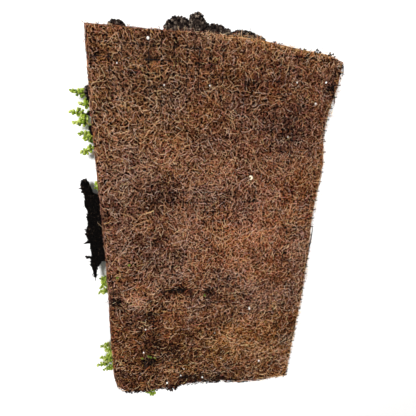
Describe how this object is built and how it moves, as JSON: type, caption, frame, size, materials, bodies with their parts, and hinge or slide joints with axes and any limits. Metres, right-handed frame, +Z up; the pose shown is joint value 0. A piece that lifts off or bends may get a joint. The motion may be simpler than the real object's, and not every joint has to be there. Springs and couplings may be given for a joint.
{
  "type": "piece of sedum mat",
  "caption": "Flat hand-cut piece of living sedum mat, turned over: a coir mat with a plastic backing net over a layer of roots and soil, lying on its pressed sedum plants.",
  "frame": {"origin": "on the floor under the middle of the piece, on the flat underside of the middle sedum cushion", "axes": "+X across the piece to its right edge, +Y along the piece to its head, +Z up, out of the coir side"},
  "size_m": [0.3366, 0.5808, 0.0358],
  "materials": {
    "coir": "matt brown coconut fibre, loose and tangled",
    "net": "dull black plastic",
    "soil": "dark moist soil bound by fine roots",
    "roots": "nearly black felt of roots and soil",
    "sedum": "fleshy light green leaves with a soft sheen"
  },
  "bodies": {
    "root": {"coir_mat": "coir", "backing_net_head": "net", "backing_net_middle": "net", "backing_net_foot": "net", "growing_medium": "soil", "torn_root_strip": "roots", "sedum_cushions": "sedum", "sedum_sprigs_left_head": "sedum", "sedum_sprigs_left_middle": "sedum", "sedum_sprigs_left_foot": "sedum", "sedum_sprig_foot": "sedum"}
  },
  "joints": []
}
